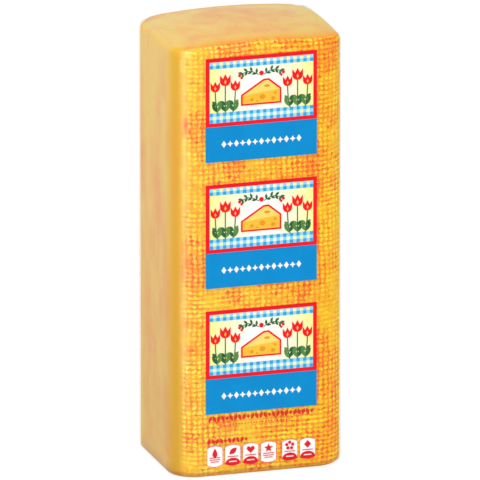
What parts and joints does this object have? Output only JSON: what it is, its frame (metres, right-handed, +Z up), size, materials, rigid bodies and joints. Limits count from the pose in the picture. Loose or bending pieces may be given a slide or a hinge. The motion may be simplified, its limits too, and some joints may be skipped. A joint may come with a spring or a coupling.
{
  "type": "muenster cheese loaf",
  "caption": "Tall block of soft orange-rinded cheese with rounded corners and a crowned top, sealed in clear film with printed panels and small tabs down its front.",
  "frame": {"origin": "middle of the flat foot, on the surface the loaf stands on", "axes": "+Z up along the loaf's height, -Y out of the printed front, +X to the right seen from the front"},
  "size_m": [0.111, 0.0863, 0.2775],
  "materials": {
    "cheese": "semi-soft cheese rind dyed orange, with the imprint of a coarse cloth",
    "film": "clear, soft gloss shrink film",
    "print_red": "satin ink on film",
    "print_cream": "satin ink on film",
    "print_blue": "satin ink on film",
    "print_white": "satin ink on film",
    "print_green": "satin ink on film",
    "print_gold": "satin ink on film"
  },
  "bodies": {
    "root": {"cheese_loaf": "cheese", "panel_frame_1": "print_red", "panel_field_1": "print_cream", "panel_band_1": "print_blue", "panel_frame_2": "print_red", "panel_field_2": "print_cream", "panel_band_2": "print_blue", "panel_frame_3": "print_red", "panel_field_3": "print_cream", "panel_band_3": "print_blue", "tab_1": "print_white", "tab_2": "print_white", "tab_3": "print_white", "tab_4": "print_white", "tab_5": "print_white", "tab_6": "print_white"}
  },
  "joints": []
}
